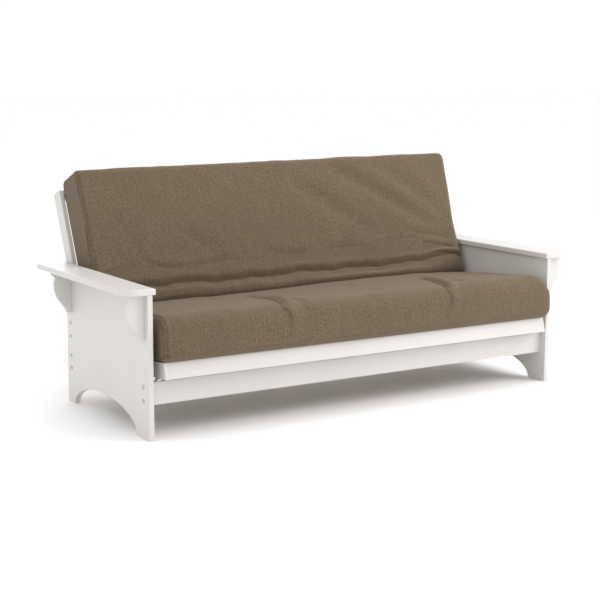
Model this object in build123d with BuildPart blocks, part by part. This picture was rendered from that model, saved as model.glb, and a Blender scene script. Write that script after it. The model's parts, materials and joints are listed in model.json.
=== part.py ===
from build123d import *
import math
import os

# A full-size futon sofa bed, in millimetres. X runs along the sofa, +Y towards its back, +Z up.
# The origin is on the floor under the middle of the whole sofa, in the sofa position.

# Driving dimensions: arms
inner_width = 1950          # between the inner faces of the two side panels
panel_thick = 22
panel_depth = 784
panel_height = 560
panel_mid_y = -61.8         # middle of the panels; the leaning back takes the sofa further back
arch_half_span = 302
arch_height = 103
arch_shift = 19             # the arch's crown is a little behind the middle of the panel
board_thick = 24
board_inner_overhang = 11
board_outer_overhang = 96
board_front_overhang = 4
board_rear_overhang = 80
corbel_thick = 22
corbel_inset = 28           # from the panel's front edge to the front corbel
corbel_rear_inset = 38
corbel_reach = 86
corbel_drop = 172
corbel_lip = 8
corbel_neck = (68, -26)     # where the lip's underside meets the belly: out from the panel, down
corbel_belly = ((75, -60), (60, -111), (38, -141))
corbel_foot = (22, 5)       # the foot's thickness and the height of its square end
board_outer_radius = 60
board_rear_radius = 8
board_top_ease = 5
board_bottom_ease = 3
edge_ease = 2.5

# Driving dimensions: stringers between the arms
stringer_thick = 28
stringer_height = 90
stringer_bottom = 130
front_stringer_recess = 34
rear_stringer_recess = 26
glide_height = 8.6
glide_length = 20
glide_width = 20

# Driving dimensions: folding decks
seat_tilt = 4.5             # degrees, front edge high
back_lean = 23.0            # degrees from upright
rail_width = 65
rail_thick = 18
rail_front_ease = 3
rail_end_ease = 4
relief_ends = (212, 618)    # the stretch of each fore-and-aft seat rail that passes the front stringer
relief_depth = 10
seat_depth = 690            # pivot to the top of the front edge
seat_front_thick = 22
seat_front_slope = 13       # how far the foot of the front face stands forward of its top
back_length = 711           # pivot to the top end
cross_rail_gap = 40         # pivot to the nearest cross rail of each deck
back_rail_inner = 943.5     # inner face of the back deck's side rails
seat_rail_outer = 942
slat_count = 8
slat_width = 70
slat_thick = 12
slat_ease = 2
ledger_size = (20, 25)
mattress_length = 1905
mattress_thick = 190
mattress_front_overhang = 55
mattress_top_overhang = 28
mattress_gap = 0.5
mattress_ease = 30
deck_travel = 410           # how far the pivot comes forward from sofa to bed
deck_rise = 48
pivot_behind = 277.5        # the pivot line from the middle of the arm panel, and its height
pivot_height = 214

# Driving dimensions: hardware
track_thick = 11
track_plank = 90
track_front_top = 28        # slot's middle to the lowered top edge, which clears the stop pins in the bed
track_relief_start = 32     # from the middle of the track to the rear end of that lowered edge
upright_lip = 2             # how much of the stop pin's front half the upright's seat leaves open
upright_top = 38
upright_inset = 5           # from the arm panel's rear edge
upright_gap = 2             # above the rear stringer
roller_radius = 15
roller_thick = 9
slot_play = 0.4
pivot_radius = 5
stop_pin_radius = 6
stop_pin_up = 120           # along the back rail from the pivot
stop_pin_forward = 25       # towards the back rail's front edge
bolt_radius = 4
bolt_head_radius = 8.5
bolt_head_thick = 2.2
bolt_offset = 27.5          # stringer bolts, above and below the stringer's middle
upper_bolt_heights = (284, 340)
bolt_socket = (2.6, 1.6)    # radius and depth
bolt_spare = 14             # how far a long bolt reaches past its barrel nut's middle
insert_radius = 6
barrel_radius = 6
barrel_length = 24
barrel_inset = 50           # from the panel's inner face to the barrel nut
dowel_radius = 5
dowel_length = 40
dowel_shares = (-0.4, -0.14, 0.14, 0.4)   # along the panel, as shares of its depth
screw_radius = 2.5
screw_length = 50
screw_head_thick = 1.2
track_screw_shares = (0.15, 0.5, 0.85)    # along the track
screw_spread = 18           # either side of a rail's middle
nut_thick = 8
nut_radius = 9.5
washer_radius = 11
hole_play = 0.05
drill_extra = 20            # the long bolts' holes run on past the barrel nut
countersink = 2             # countersunk recess, as a multiple of the screw's radius
rail_play = 0.3             # between the pivot's nuts or spacers and the side rails
nut_play = 0.4
washer_play = 0.5
end_play = 1                # left free past the end of a pin, dowel or screw

# Worked out from the driving dimensions
half_inner = inner_width / 2
panel_front = panel_mid_y - panel_depth / 2
panel_rear = panel_mid_y + panel_depth / 2
pivot_y = panel_mid_y + pivot_behind
pivot_z = pivot_height
half_rail = rail_width / 2
tilt = math.radians(seat_tilt)
lean = math.radians(back_lean)
fold = math.radians(90 - back_lean + seat_tilt)
mitre_reach = half_rail * math.tan(fold / 2)          # pivot to the line where the deck faces meet
stringer_mid_z = stringer_bottom + stringer_height / 2
front_stringer_y = panel_front + front_stringer_recess + stringer_thick / 2
rear_stringer_y = panel_rear - rear_stringer_recess - stringer_thick / 2
stringer_bolt_heights = (stringer_mid_z - bolt_offset, stringer_mid_z + bolt_offset)
track_length = math.hypot(deck_travel, deck_rise)
track_angle = math.degrees(math.atan2(-deck_rise, deck_travel))
sides = (("left", -1), ("right", 1))

# Deck planes through the pivot line: local X along the sofa, local Y along the deck away from the
# seat's front edge, local Z out of the face that carries the mattress.
pivot_point = (0, pivot_y, pivot_z)
seat_plane = Plane(origin=pivot_point, x_dir=(1, 0, 0), z_dir=(0, math.sin(tilt), math.cos(tilt)))
back_plane = Plane(origin=pivot_point, x_dir=(1, 0, 0), z_dir=(0, -math.cos(lean), math.sin(lean)))


def save(piece, name):
    """Label a finished piece and write it out under its own name."""
    piece.label = name
    export_step(piece, f"parts/{name}.step")


def upright_plane(x):
    """A plane across the sofa at x: local X runs to the back, local Y up, and it faces +X."""
    return Plane(origin=(x, 0, 0), x_dir=(0, 1, 0), z_dir=(1, 0, 0))


def deck_side_plane(deck, x):
    """A plane across a deck at x, its origin on the pivot: local X along the deck, local Y out of it."""
    origin = deck.from_local_coords((x, 0, 0))
    return Plane(origin=origin, x_dir=deck.y_dir, z_dir=(1, 0, 0))


def make_board(name, deck, x_limits, y_limits, z_limits, ease=1.5):
    """Write a straight board between limits in a deck's own frame, its edges eased."""
    width = x_limits[1] - x_limits[0]
    length = y_limits[1] - y_limits[0]
    with BuildPart() as board:
        with BuildSketch(deck.offset(z_limits[0])):
            with Locations((x_limits[0] + width / 2, y_limits[0] + length / 2)):
                Rectangle(width, length)
        extrude(amount=z_limits[1] - z_limits[0])
        fillet(board.edges(), ease)
    save(board.part, name)


def screw_rows(deck_name):
    """Local (y, z) of the screws through a deck's side rails into its cross rails."""
    near = cross_rail_gap + rail_thick / 2
    far = seat_depth - seat_front_thick / 2 if deck_name == "seat" else back_length - rail_thick / 2
    way = -1 if deck_name == "seat" else 1
    return [(way * reach, height) for reach in (near, far) for height in (-screw_spread, screw_spread)]


# Arms ---------------------------------------------------------------------------------------

def make_side_panel(side, sign):
    """A side panel: one broad board, arched at the foot, drilled for the bolts and top dowels."""
    bolt_places = [(front_stringer_y, height) for height in stringer_bolt_heights]
    bolt_places += [(rear_stringer_y, height) for height in stringer_bolt_heights]
    bolt_places += [(rear_stringer_y, height) for height in upper_bolt_heights]
    with BuildPart() as panel:
        with BuildSketch(upright_plane(sign * half_inner)):
            with Locations((panel_mid_y, panel_height / 2)):
                Rectangle(panel_depth, panel_height)
            with Locations((panel_mid_y + arch_shift, 0)):
                Ellipse(arch_half_span, arch_height, mode=Mode.SUBTRACT)
            with Locations(*bolt_places):
                Circle(bolt_radius + hole_play, mode=Mode.SUBTRACT)
        extrude(amount=sign * panel_thick)
        corners = panel.edges().filter_by(Axis.Z).filter_by(lambda edge: edge.length > panel_height / 2)
        fillet(corners, edge_ease)
        with BuildSketch(Plane.XY.offset(panel_height)):
            with Locations(*dowel_places(sign)):
                Circle(dowel_radius + hole_play)
        extrude(amount=-dowel_length / 2, mode=Mode.SUBTRACT)
    save(panel.part, f"{side}_side_panel")


def dowel_places(sign):
    """The four dowels between a side panel and its arm board."""
    x = sign * (half_inner + panel_thick / 2)
    return [(x, panel_mid_y + share * panel_depth) for share in dowel_shares]


def make_arm_board(side, sign):
    """The flat arm: overhangs outwards and to the rear, with a large radius at its outer front."""
    inner_x = sign * (half_inner - board_inner_overhang)
    outer_x = sign * (half_inner + panel_thick + board_outer_overhang)
    front = panel_front - board_front_overhang
    rear = panel_rear + board_rear_overhang
    with BuildPart() as board:
        with BuildSketch(Plane.XY.offset(panel_height)):
            with Locations(((inner_x + outer_x) / 2, (front + rear) / 2)):
                Rectangle(abs(outer_x - inner_x), rear - front)
        extrude(amount=board_thick)
        uprights = board.edges().filter_by(Axis.Z)
        outer_front = uprights.sort_by(lambda edge: edge.center().Y - sign * edge.center().X)[0]
        fillet(outer_front, board_outer_radius)
        others = board.edges().filter_by(Axis.Z).filter_by(lambda edge: edge.center().Y > 0)
        fillet(others, board_rear_radius)
        fillet(board.faces().sort_by(Axis.Z)[-1].edges(), board_top_ease)
        fillet(board.faces().sort_by(Axis.Z)[0].edges(), board_bottom_ease)
        with BuildSketch(Plane.XY.offset(panel_height)):
            with Locations(*dowel_places(sign)):
                Circle(dowel_radius + hole_play)
        extrude(amount=dowel_length / 2, mode=Mode.SUBTRACT)
    save(board.part, f"{side}_arm_board")


def make_corbel(name, sign, middle_y):
    """A sawn bracket under the arm board: a small lip, a full belly and a taper to a narrow foot."""
    outer_x = sign * (half_inner + panel_thick)
    profile_plane = Plane(origin=(outer_x, middle_y, panel_height), x_dir=(sign, 0, 0), z_dir=(0, -sign, 0))
    foot, foot_rise = corbel_foot
    foot_top = (foot, foot_rise - corbel_drop)
    with BuildPart() as corbel:
        with BuildSketch(profile_plane):
            with BuildLine():
                Polyline((0, 0), (corbel_reach, 0), (corbel_reach, -corbel_lip), corbel_neck)
                Spline(corbel_neck, *corbel_belly, foot_top)
                Polyline(foot_top, (foot, -corbel_drop), (0, -corbel_drop), (0, 0))
            make_face()
        extrude(amount=corbel_thick / 2, both=True)
    save(corbel.part, name)


def make_arm_dowels():
    """Eight glued dowels, half in the panels and half in the arm boards."""
    with BuildPart() as dowels:
        with BuildSketch(Plane.XY.offset(panel_height - dowel_length / 2)):
            with Locations(*dowel_places(-1), *dowel_places(1)):
                Circle(dowel_radius)
        extrude(amount=dowel_length - end_play)
    save(dowels.part, "arm_dowels")


# Stringers and their fixings ----------------------------------------------------------------

def make_stringer(name, middle_y, hidden_side):
    """A stringer between the panels; its barrel nuts go in from the side that is out of sight."""
    with BuildPart() as stringer:
        with BuildSketch(upright_plane(-half_inner)):
            with Locations((middle_y, stringer_mid_z)):
                Rectangle(stringer_thick, stringer_height)
        extrude(amount=inner_width)
        fillet(stringer.edges().filter_by(Axis.X), edge_ease)
        for _, sign in sides:
            with BuildSketch(upright_plane(sign * half_inner)):
                with Locations(*[(middle_y, height) for height in stringer_bolt_heights]):
                    Circle(bolt_radius + hole_play)
            extrude(amount=-sign * (barrel_inset + drill_extra), mode=Mode.SUBTRACT)
        hidden_face = Plane(
            origin=(0, middle_y + hidden_side * stringer_thick / 2, 0),
            x_dir=(1, 0, 0),
            z_dir=(0, hidden_side, 0),
        )
        up = -hidden_side
        with BuildSketch(hidden_face):
            with Locations(*barrel_places(up)):
                Circle(barrel_radius + hole_play)
        extrude(amount=-barrel_length - end_play, mode=Mode.SUBTRACT)
    save(stringer.part, name)


def barrel_places(up):
    """Barrel nut centres as (x, height) on a plane whose local Y is up or down."""
    across = half_inner - barrel_inset
    return [(sign * across, up * height) for _, sign in sides for height in stringer_bolt_heights]


def make_barrel_nuts():
    """Eight cross dowels in the stringers, each tapped across its middle."""
    with BuildPart() as nuts:
        for middle_y, hidden_side in ((front_stringer_y, 1), (rear_stringer_y, -1)):
            start = middle_y + hidden_side * stringer_thick / 2
            face = Plane(origin=(0, start, 0), x_dir=(1, 0, 0), z_dir=(0, hidden_side, 0))
            with BuildSketch(face):
                with Locations(*barrel_places(-hidden_side)):
                    Circle(barrel_radius)
            extrude(amount=-barrel_length)
            for _, sign in sides:
                with BuildSketch(upright_plane(sign * half_inner)):
                    with Locations(*[(middle_y, height) for height in stringer_bolt_heights]):
                        Circle(bolt_radius + hole_play)
                extrude(amount=-sign * (barrel_inset + drill_extra), mode=Mode.SUBTRACT)
    save(nuts.part, "barrel_nuts")


def make_arm_bolts():
    """Twelve flat-headed socket bolts: four pairs into the stringers, two pairs into the tracks."""
    long_reach = panel_thick + barrel_inset + bolt_spare
    short_reach = panel_thick + track_thick - end_play
    socket_radius, socket_depth = bolt_socket
    stringer_places = [(y, z) for y in (front_stringer_y, rear_stringer_y) for z in stringer_bolt_heights]
    track_places = [(rear_stringer_y, z) for z in upper_bolt_heights]
    with BuildPart() as bolts:
        for _, sign in sides:
            outer = upright_plane(sign * (half_inner + panel_thick))
            for places, reach in ((stringer_places, long_reach), (track_places, short_reach)):
                with BuildSketch(outer):
                    with Locations(*places):
                        Circle(bolt_radius)
                extrude(amount=-sign * reach)
                with BuildSketch(outer):
                    with Locations(*places):
                        Circle(bolt_head_radius)
                extrude(amount=sign * bolt_head_thick)
                with BuildSketch(upright_plane(sign * (half_inner + panel_thick + bolt_head_thick))):
                    with Locations(*places):
                        RegularPolygon(socket_radius, 6)
                extrude(amount=-sign * socket_depth, mode=Mode.SUBTRACT)
    save(bolts.part, "arm_bolts")


def make_threaded_inserts():
    """Four threaded inserts in the track boards, one for each upper rear bolt."""
    with BuildPart() as inserts:
        for _, sign in sides:
            with BuildSketch(upright_plane(sign * half_inner)):
                with Locations(*[(rear_stringer_y, z) for z in upper_bolt_heights]):
                    Circle(insert_radius)
                    Circle(bolt_radius + hole_play, mode=Mode.SUBTRACT)
            extrude(amount=-sign * track_thick)
    save(inserts.part, "threaded_inserts")


def make_glide_blocks(name, middle_y, rail_x):
    """Three nylon blocks on top of a stringer, under a deck's side rails and centre rail."""
    top = stringer_bottom + stringer_height
    with BuildPart() as glides:
        with BuildSketch(Plane.XY.offset(top)):
            with Locations((-rail_x, middle_y), (0, middle_y), (rail_x, middle_y)):
                Rectangle(glide_length, glide_width)
        extrude(amount=glide_height)
        fillet(glides.faces().group_by(Axis.Z)[-1].edges().filter_by(Axis.X), 3)
    save(glides.part, name)


# Tracks -------------------------------------------------------------------------------------

def stop_pin_place():
    """Rest position of the stop pins as (y, z)."""
    point = back_plane.from_local_coords((0, stop_pin_up, stop_pin_forward))
    return (point.Y, point.Z)


def track_screw_places():
    """Screws along the lower edge of a track board."""
    lower = -(roller_radius + track_plank / 2) / 2
    turn = math.radians(track_angle)
    places = []
    for share in track_screw_shares:
        y = pivot_y - share * deck_travel - lower * math.sin(turn)
        z = pivot_z + share * deck_rise + lower * math.cos(turn)
        places.append((y, z))
    return places


def make_track_board(side, sign):
    """A hardwood board inside each arm: a long slot for the roller and an upright with a pin seat."""
    middle = (pivot_y - deck_travel / 2, pivot_z + deck_rise / 2)
    turn = math.radians(track_angle)
    relief_length = track_length
    relief_height = track_plank
    relief_along = track_relief_start + relief_length / 2
    relief_over = track_front_top + relief_height / 2
    relief_middle = (
        middle[0] - relief_along * math.cos(turn) - relief_over * math.sin(turn),
        middle[1] - relief_along * math.sin(turn) + relief_over * math.cos(turn),
    )
    pin = stop_pin_place()
    upright_front = pin[0] + upright_lip
    upright_rear = panel_rear - upright_inset
    upright_low = stringer_bottom + stringer_height + upright_gap
    upright_high = pin[1] + upright_top
    with BuildPart() as track:
        with BuildSketch(upright_plane(sign * half_inner)):
            with Locations(middle):
                SlotCenterToCenter(track_length, track_plank, rotation=track_angle)
            with Locations(((upright_front + upright_rear) / 2, (upright_low + upright_high) / 2)):
                RectangleRounded(
                    upright_rear - upright_front,
                    upright_high - upright_low,
                    board_rear_radius,
                )
            with Locations(middle):
                slot_height = 2 * (roller_radius + slot_play)
                SlotCenterToCenter(track_length, slot_height, rotation=track_angle, mode=Mode.SUBTRACT)
            with Locations(relief_middle):
                RectangleRounded(
                    relief_length,
                    relief_height,
                    board_rear_radius,
                    rotation=track_angle,
                    mode=Mode.SUBTRACT,
                )
            with Locations(pin):
                Circle(stop_pin_radius + slot_play, mode=Mode.SUBTRACT)
            with Locations(*[(rear_stringer_y, z) for z in upper_bolt_heights]):
                Circle(insert_radius + hole_play, mode=Mode.SUBTRACT)
            with Locations(*track_screw_places()):
                Circle(screw_radius + hole_play, mode=Mode.SUBTRACT)
        extrude(amount=-sign * track_thick)
    save(track.part, f"{side}_track_board")


def make_track_screws():
    """Screws that hold the track boards to the panels, with flat heads on the inner face."""
    with BuildPart() as screws:
        for _, sign in sides:
            face = upright_plane(sign * (half_inner - track_thick))
            with BuildSketch(face):
                with Locations(*track_screw_places()):
                    Circle(screw_radius)
            extrude(amount=sign * track_thick)
            with BuildSketch(face):
                with Locations(*track_screw_places()):
                    Circle(countersink * screw_radius)
            extrude(amount=-sign * screw_head_thick)
    save(screws.part, "track_screws")


# Pivots -------------------------------------------------------------------------------------

def make_pivot_hardware():
    """On each side a pivot bolt, its nut, a spacing washer and a nylon roller, all on one axis."""
    seat_rail_inner = seat_rail_outer - rail_thick
    back_rail_outer = back_rail_inner + rail_thick
    roller_inner = half_inner - track_thick / 2 - roller_thick / 2
    bolt_end = roller_inner + roller_thick
    with BuildPart() as bolts:
        for _, sign in sides:
            with BuildSketch(upright_plane(sign * (seat_rail_inner - nut_thick))):
                with Locations((pivot_y, pivot_z)):
                    Circle(pivot_radius)
            extrude(amount=sign * (bolt_end - seat_rail_inner + nut_thick))
    save(bolts.part, "pivot_bolts")
    with BuildPart() as nuts:
        for _, sign in sides:
            with BuildSketch(upright_plane(sign * (seat_rail_inner - nut_play))):
                with Locations((pivot_y, pivot_z)):
                    RegularPolygon(nut_radius, 6)
                    Circle(pivot_radius + hole_play, mode=Mode.SUBTRACT)
            extrude(amount=-sign * (nut_thick - nut_play))
    save(nuts.part, "pivot_nuts")
    with BuildPart() as washers:
        for _, sign in sides:
            between_rails = (seat_rail_outer + rail_play, back_rail_inner - rail_play)
            beside_roller = (back_rail_outer + washer_play, roller_inner - rail_play)
            for start, end in (between_rails, beside_roller):
                with BuildSketch(upright_plane(sign * start)):
                    with Locations((pivot_y, pivot_z)):
                        Circle(washer_radius)
                        Circle(pivot_radius + hole_play, mode=Mode.SUBTRACT)
                extrude(amount=sign * (end - start))
    save(washers.part, "pivot_washers")
    with BuildPart() as rollers:
        for _, sign in sides:
            with BuildSketch(upright_plane(sign * roller_inner)):
                with Locations((pivot_y, pivot_z)):
                    Circle(roller_radius)
                    Circle(pivot_radius + hole_play, mode=Mode.SUBTRACT)
            extrude(amount=sign * roller_thick)
    save(rollers.part, "track_rollers")


# Seat deck ----------------------------------------------------------------------------------

def seat_rail_outline(front_end, slope, rear_end):
    """Outline of a fore-and-aft seat rail, with a shallow hollow where it passes the front stringer."""
    relief_start = (-relief_ends[1], -half_rail)
    relief_middle = (-sum(relief_ends) / 2, relief_depth - half_rail)
    relief_end = (-relief_ends[0], -half_rail)
    with BuildSketch() as outline:
        with BuildLine():
            Polyline(
                relief_end,
                (rear_end, -half_rail),
                (rear_end, half_rail),
                (front_end, half_rail),
                (front_end - slope, -half_rail),
                relief_start,
            )
            ThreePointArc(relief_start, relief_middle, relief_end)
        make_face()
    return outline.sketch


def make_seat_side_rail(side, sign):
    """A seat side rail, inside the back deck's rail, rounded about the pivot."""
    outline = seat_rail_outline(-seat_depth, seat_front_slope, 0)
    with BuildPart() as rail:
        with BuildSketch(deck_side_plane(seat_plane, sign * seat_rail_outer)):
            add(outline)
            Circle(half_rail)
            Circle(pivot_radius + hole_play, mode=Mode.SUBTRACT)
            with Locations(*screw_rows("seat")):
                Circle(screw_radius + hole_play, mode=Mode.SUBTRACT)
        extrude(amount=-sign * rail_thick)
    save(rail.part, f"seat_{side}_rail")


def make_seat_front_rail():
    """The front rail: its face slopes back towards the top, with a rounded top edge."""
    half_length = seat_rail_outer - rail_thick
    drills = rail_end_drills("seat", half_length)
    with BuildPart() as rail:
        with BuildSketch(deck_side_plane(seat_plane, -half_length)):
            with BuildLine():
                Polyline(
                    (-seat_depth + seat_front_thick, -half_rail),
                    (-seat_depth + seat_front_thick, half_rail),
                    (-seat_depth, half_rail),
                    (-seat_depth - seat_front_slope, -half_rail),
                    close=True,
                )
            make_face()
        extrude(amount=2 * half_length)
        fillet(rail.edges().filter_by(Axis.X), rail_front_ease)
        add(drills, mode=Mode.SUBTRACT)
    save(rail.part, "seat_front_rail")


def rail_end_drills(deck_name, half_length):
    """The blind screw holes of a deck's cross rails, as solids to take away from them."""
    deck = seat_plane if deck_name == "seat" else back_plane
    with BuildPart() as drills:
        for _, sign in sides:
            with BuildSketch(deck_side_plane(deck, sign * half_length)):
                with Locations(*screw_rows(deck_name)):
                    Circle(screw_radius + hole_play)
            extrude(amount=-sign * (screw_length - rail_thick + end_play))
    return drills.part


def make_cross_rail(name, deck_name, half_length, y_limits):
    """A plain cross rail of a deck, screwed through the side rails."""
    deck = seat_plane if deck_name == "seat" else back_plane
    drills = rail_end_drills(deck_name, half_length)
    with BuildPart() as rail:
        with BuildSketch(deck.offset(-half_rail)):
            with Locations((0, (y_limits[0] + y_limits[1]) / 2)):
                Rectangle(2 * half_length, y_limits[1] - y_limits[0])
        extrude(amount=rail_width)
        fillet(rail.edges().filter_by(Axis.X), edge_ease)
        add(drills, mode=Mode.SUBTRACT)
    save(rail.part, name)


def make_deck_screws(deck_name, side_outer):
    """Countersunk screws through the side rails of a deck, their heads let in flush."""
    deck = seat_plane if deck_name == "seat" else back_plane
    with BuildPart() as screws:
        for _, sign in sides:
            with BuildSketch(deck_side_plane(deck, sign * side_outer)):
                with Locations(*screw_rows(deck_name)):
                    Circle(screw_radius)
            extrude(amount=-sign * screw_length)
    save(screws.part, f"{deck_name}_deck_screws")


def slat_centres(half_length):
    """Slat positions along the sofa, evenly spaced each side of the centre rail."""
    pitch = 2 * half_length / (slat_count + 1)
    half = [pitch / 2 + step * pitch for step in range(slat_count // 2)]
    return [-x for x in reversed(half)] + half


def make_seat_deck():
    """The seat frame: side rails, front and rear rails, centre rail, ledgers and slats."""
    for side, sign in sides:
        make_seat_side_rail(side, sign)
    half_length = seat_rail_outer - rail_thick
    make_seat_front_rail()
    rear = -cross_rail_gap
    make_cross_rail("seat_rear_rail", "seat", half_length, (rear - rail_thick, rear))
    front_inside = -seat_depth + seat_front_thick
    rear_inside = rear - rail_thick
    outline = seat_rail_outline(front_inside, 0, rear_inside)
    with BuildPart() as centre:
        with BuildSketch(deck_side_plane(seat_plane, -rail_thick / 2)):
            add(outline)
        extrude(amount=rail_thick)
    save(centre.part, "seat_centre_rail")
    make_ledgers_and_slats("seat", seat_plane, half_length, front_inside, rear_inside)
    make_deck_screws("seat", seat_rail_outer)


def make_ledgers_and_slats(deck_name, deck, half_length, low_end, high_end):
    """Two ledger strips, each in two lengths beside the centre rail, and the slats on them."""
    top = half_rail - slat_thick
    ledger_y, ledger_z = ledger_size
    ends = {"seat": ("front", "rear"), "back": ("bottom", "top")}[deck_name]
    low_ledger = (ends[0], low_end, low_end + ledger_y)
    high_ledger = (ends[1], high_end - ledger_y, high_end)
    for end_name, near, far in (low_ledger, high_ledger):
        with BuildPart() as ledger:
            with BuildSketch(deck.offset(top - ledger_z)):
                for _, sign in sides:
                    length = half_length - rail_thick / 2
                    with Locations((sign * (rail_thick / 2 + length / 2), (near + far) / 2)):
                        Rectangle(length, far - near)
            extrude(amount=ledger_z)
        save(ledger.part, f"{deck_name}_{end_name}_ledger")
    for number, x in enumerate(slat_centres(half_length), start=1):
        limits = (x - slat_width / 2, x + slat_width / 2)
        make_board(f"{deck_name}_slat_{number}", deck, limits, (low_end, high_end), (top, half_rail), slat_ease)


# Back deck ----------------------------------------------------------------------------------

def make_back_side_rail(side, sign):
    """A back side rail: square at the top, rounded about the pivot, with a hole for the stop pin."""
    with BuildPart() as rail:
        with BuildSketch(deck_side_plane(back_plane, sign * back_rail_inner)):
            with Locations((back_length / 2, 0)):
                Rectangle(back_length, rail_width)
            Circle(half_rail)
            Circle(pivot_radius + hole_play, mode=Mode.SUBTRACT)
            with Locations((stop_pin_up, stop_pin_forward)):
                Circle(stop_pin_radius + hole_play, mode=Mode.SUBTRACT)
            with Locations(*screw_rows("back")):
                Circle(screw_radius + hole_play, mode=Mode.SUBTRACT)
        extrude(amount=sign * rail_thick)
        top_edges = rail.edges().filter_by(Axis.X).sort_by(Axis.Z)[-2:]
        fillet(top_edges, rail_end_ease)
    save(rail.part, f"back_{side}_rail")


def make_back_deck():
    """The back frame: side rails, top and bottom rails, centre rail, ledgers, slats and stop pins."""
    for side, sign in sides:
        make_back_side_rail(side, sign)
    low = (cross_rail_gap, cross_rail_gap + rail_thick)
    high = (back_length - rail_thick, back_length)
    make_cross_rail("back_bottom_rail", "back", back_rail_inner, low)
    make_cross_rail("back_top_rail", "back", back_rail_inner, high)
    half_thick = rail_thick / 2
    inside = (low[1], high[0])
    make_board("back_centre_rail", back_plane, (-half_thick, half_thick), inside, (-half_rail, half_rail))
    make_ledgers_and_slats("back", back_plane, back_rail_inner, low[1], high[0])
    make_deck_screws("back", back_rail_inner + rail_thick)
    with BuildPart() as pins:
        for _, sign in sides:
            with BuildSketch(deck_side_plane(back_plane, sign * back_rail_inner)):
                with Locations((stop_pin_up, stop_pin_forward)):
                    Circle(stop_pin_radius)
            extrude(amount=sign * (half_inner - back_rail_inner - end_play))
    save(pins.part, "back_stop_pins")


# Mattress -----------------------------------------------------------------------------------

def make_mattress_half(name, deck, outer_end, way):
    """Half of the folded mattress: a thick pad on a deck, mitred where the two halves meet."""
    bottom = half_rail + mattress_gap
    top = bottom + mattress_thick
    near_gap = mattress_gap / math.sin(fold / 2)
    half_angle = (math.pi - fold) / 2
    low_corner = mitre_reach + near_gap + mattress_gap / math.tan(half_angle)
    high_corner = low_corner + mattress_thick / math.tan(half_angle)
    with BuildPart() as pad:
        with BuildSketch(deck_side_plane(deck, -mattress_length / 2)):
            with BuildLine():
                Polyline(
                    (way * low_corner, bottom),
                    (way * outer_end, bottom),
                    (way * outer_end, top),
                    (way * high_corner, top),
                    close=True,
                )
            make_face()
        extrude(amount=mattress_length)
        outer_face = pad.faces().sort_by(lambda face: -way * deck.to_local_coords(face.center()).Y)[0]
        fillet(outer_face.edges(), mattress_ease)
    save(pad.part, name)


def make_sofa():
    """Make every piece of the sofa bed."""
    for side, sign in sides:
        make_side_panel(side, sign)
        make_arm_board(side, sign)
        front_y = panel_front + corbel_inset + corbel_thick / 2
        rear_y = panel_rear - corbel_rear_inset - corbel_thick / 2
        make_corbel(f"{side}_front_corbel", sign, front_y)
        make_corbel(f"{side}_rear_corbel", sign, rear_y)
        make_track_board(side, sign)
    make_arm_dowels()
    make_stringer("front_stringer", front_stringer_y, 1)
    make_stringer("rear_stringer", rear_stringer_y, -1)
    make_barrel_nuts()
    make_arm_bolts()
    make_threaded_inserts()
    make_track_screws()
    make_glide_blocks("front_glide_blocks", front_stringer_y, seat_rail_outer - rail_thick / 2)
    make_glide_blocks("rear_glide_blocks", rear_stringer_y, back_rail_inner + rail_thick / 2)
    make_pivot_hardware()
    make_seat_deck()
    make_back_deck()
    make_mattress_half("seat_mattress", seat_plane, seat_depth + mattress_front_overhang, -1)
    make_mattress_half("back_mattress", back_plane, back_length + mattress_top_overhang, 1)


os.makedirs("parts", exist_ok=True)
make_sofa()
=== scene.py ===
import json
import math

import bpy
import numpy as np
from mathutils import Matrix, Vector, noise


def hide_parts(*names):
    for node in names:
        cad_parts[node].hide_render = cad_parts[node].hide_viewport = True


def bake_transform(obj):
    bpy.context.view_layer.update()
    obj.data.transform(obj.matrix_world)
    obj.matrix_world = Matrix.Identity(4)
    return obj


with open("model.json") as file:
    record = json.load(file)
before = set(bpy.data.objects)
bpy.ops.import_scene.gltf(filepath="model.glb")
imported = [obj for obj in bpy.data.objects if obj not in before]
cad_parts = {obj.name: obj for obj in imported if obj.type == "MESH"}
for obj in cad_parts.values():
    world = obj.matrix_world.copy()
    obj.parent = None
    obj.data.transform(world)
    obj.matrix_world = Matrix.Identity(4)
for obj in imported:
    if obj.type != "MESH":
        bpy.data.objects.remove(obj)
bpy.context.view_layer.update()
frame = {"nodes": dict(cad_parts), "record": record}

# The decks' own directions in the y, z plane, from the record's hinges.
JOINTS = {joint["name"]: joint for joint in frame["record"]["behaviour"]["joints"]}
PIVOT = np.array(JOINTS["back_fold"]["pos_m"][1:])       # the fold line
OPENING = math.radians(-JOINTS["back_fold"]["range_deg"][0])
SEAT_TILT = math.radians(JOINTS["seat_level"]["range_deg"][1])
BACK_LEAN = math.pi / 2 + SEAT_TILT - OPENING
SEAT_ALONG = np.array([math.cos(SEAT_TILT), -math.sin(SEAT_TILT)])
SEAT_UP = np.array([math.sin(SEAT_TILT), math.cos(SEAT_TILT)])
BACK_ALONG = np.array([math.sin(BACK_LEAN), math.cos(BACK_LEAN)])
BACK_OUT = np.array([-math.cos(BACK_LEAN), math.sin(BACK_LEAN)])


# ---------------------------------------------------------------- materials

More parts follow.
